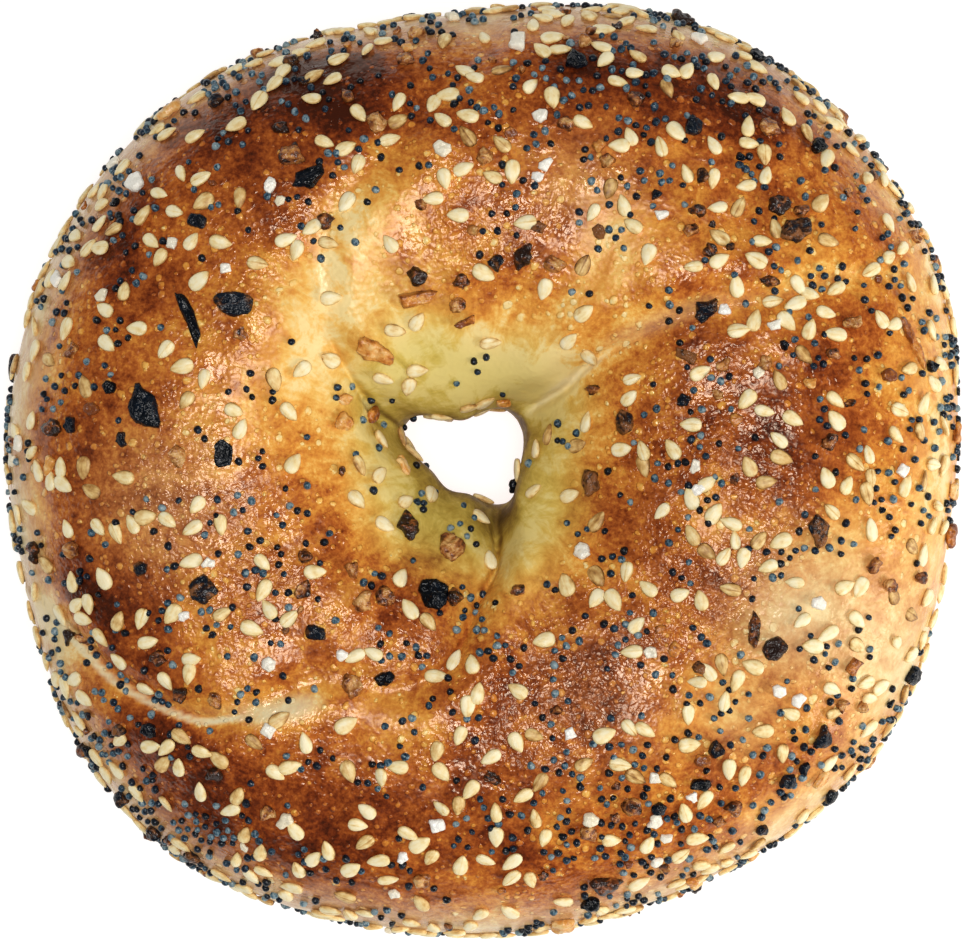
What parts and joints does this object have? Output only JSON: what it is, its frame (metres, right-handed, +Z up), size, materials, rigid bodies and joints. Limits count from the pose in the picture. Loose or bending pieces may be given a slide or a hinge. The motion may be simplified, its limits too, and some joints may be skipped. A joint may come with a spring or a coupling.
{
  "type": "everything bagel",
  "caption": "Plump ring of boiled and baked dough with a small hole, its glossy crust covered with seeds, onion flakes and salt.",
  "frame": {"origin": "centre of the bounding box, on the surface the bagel rests on", "axes": "+Z up out of the shaped and sprinkled top crust, +X to the right and +Y to the back as seen from the front"},
  "size_m": [0.1251, 0.1227, 0.0411],
  "materials": {
    "crust": "satin",
    "sesame_seed": "satin",
    "poppy_seed": "matte",
    "charred_onion": "satin",
    "toasted_onion": "satin",
    "golden_garlic": "satin",
    "coarse_salt": "satin"
  },
  "bodies": {
    "root": {"bagel": "crust"}
  },
  "joints": []
}
